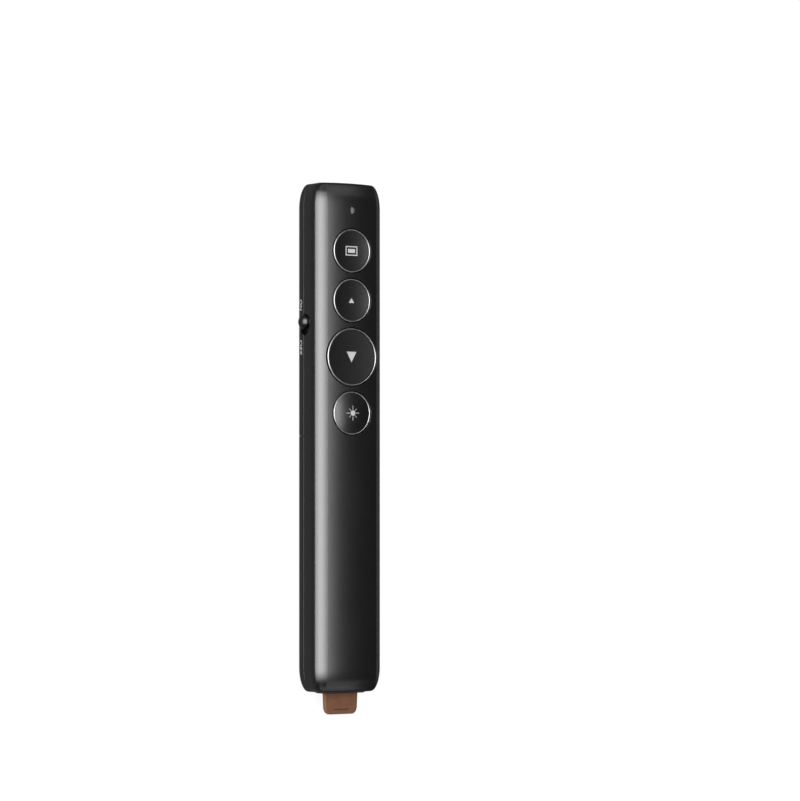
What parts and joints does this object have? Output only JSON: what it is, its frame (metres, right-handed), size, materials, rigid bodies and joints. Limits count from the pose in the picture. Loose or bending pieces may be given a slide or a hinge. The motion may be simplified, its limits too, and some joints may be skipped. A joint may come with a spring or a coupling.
{
  "type": "wireless presentation clicker",
  "caption": "Slim hand-held slide remote with round buttons, side power slider, laser, sliding battery cover and a stowed USB receiver on a leather tab.",
  "frame": {"origin": "middle of the flat back face that the clicker lies on", "axes": "+Y along the clicker to its nose (laser end), +Z out of the button face, -X the side with the power slider"},
  "size_m": [0.0254, 0.1568, 0.0139],
  "materials": {
    "satin_black_shell": "moulded ABS with a satin soft-touch coat",
    "button_black": "fine matt moulded ABS",
    "bright_trim": "bright plated ring",
    "knob_black": "smooth moulded ABS",
    "inner_black": "plain moulded ABS",
    "board_laminate": "solder-masked glass laminate",
    "chip_resin": "moulded epoxy",
    "switch_case_black": "moulded nylon",
    "plunger_white": "moulded nylon",
    "contact_steel": "nickel-plated spring steel",
    "crystal_can": "drawn metal can",
    "ferrite": "sintered ferrite with copper winding",
    "lamp_body": "clear epoxy over a white base",
    "light_pipe_clear": "smoky clear polycarbonate",
    "barrel_brass": "turned brass",
    "lens_clear": "polished",
    "window_clear": "polished dark red",
    "cell_steel": "plated steel can",
    "cell_print": "shrunk printed film, plain",
    "cap_black": "moulded ABS",
    "plug_steel": "nickel-plated folded steel",
    "blade_black": "moulded nylon",
    "gold": "gold-plated contact",
    "brown_leather": "dyed grain leather with painted edges",
    "screw_steel": "zinc-plated"
  },
  "bodies": {
    "handset": {"front_cover": "satin_black_shell", "rear_cover": "satin_black_shell", "inner_frame": "inner_black", "main_board": "board_laminate", "radio_chip": "chip_resin", "timing_crystal": "crystal_can", "step_up_coil": "ferrite", "status_lamp": "lamp_body", "light_pipe": "light_pipe_clear", "laser_barrel": "barrel_brass", "laser_lens": "lens_clear", "laser_driver_board": "board_laminate", "laser_window": "window_clear", "power_switch_case": "contact_steel", "cell_can": "cell_steel", "cell_sleeve": "cell_print", "negative_spring": "contact_steel", "negative_plate": "contact_steel", "positive_contact": "contact_steel", "board_screws": "screw_steel", "frame_screws": "screw_steel", "screen_switch_base": "switch_case_black", "page_up_switch_base": "switch_case_black", "page_down_switch_base": "switch_case_black", "laser_switch_base": "switch_case_black"},
    "screen_key": {"screen_button": "button_black", "screen_trim_ring": "bright_trim", "screen_switch_plunger": "plunger_white"},
    "page_up_key": {"page_up_button": "button_black", "page_up_trim_ring": "bright_trim", "page_up_switch_plunger": "plunger_white"},
    "page_down_key": {"page_down_button": "button_black", "page_down_trim_ring": "bright_trim", "page_down_switch_plunger": "plunger_white"},
    "laser_key": {"laser_button": "button_black", "laser_trim_ring": "bright_trim", "laser_switch_plunger": "plunger_white"},
    "power_slider": {"power_knob": "knob_black", "power_switch_actuator": "plunger_white"},
    "battery_door": {"battery_cover": "satin_black_shell"},
    "usb_receiver": {"receiver_cap": "cap_black", "receiver_plug_shell": "plug_steel", "receiver_blade": "blade_black", "receiver_gold": "gold", "receiver_board": "board_laminate", "leather_tab": "brown_leather"}
  },
  "joints": [
    {"name": "screen_press", "type": "slide", "parent": "handset", "child": "screen_key", "axis": [0, 0, -1], "range_m": [0, 0.0004], "stiffness_N_per_m": 2000},
    {"name": "page_up_press", "type": "slide", "parent": "handset", "child": "page_up_key", "axis": [0, 0, -1], "range_m": [0, 0.0004], "stiffness_N_per_m": 2000},
    {"name": "page_down_press", "type": "slide", "parent": "handset", "child": "page_down_key", "axis": [0, 0, -1], "range_m": [0, 0.0004], "stiffness_N_per_m": 2000},
    {"name": "laser_press", "type": "slide", "parent": "handset", "child": "laser_key", "axis": [0, 0, -1], "range_m": [0, 0.0004], "stiffness_N_per_m": 2000},
    {"name": "power_slide", "type": "slide", "parent": "handset", "child": "power_slider", "axis": [0, -1, 0], "range_m": [0, 0.00165]},
    {"name": "battery_cover_slide", "type": "slide", "parent": "handset", "child": "battery_door", "axis": [0, -1, 0], "range_m": [0, 0.079]},
    {"name": "receiver_pull", "type": "slide", "parent": "handset", "child": "usb_receiver", "axis": [0, -1, 0], "range_m": [0, 0.0225]}
  ]
}
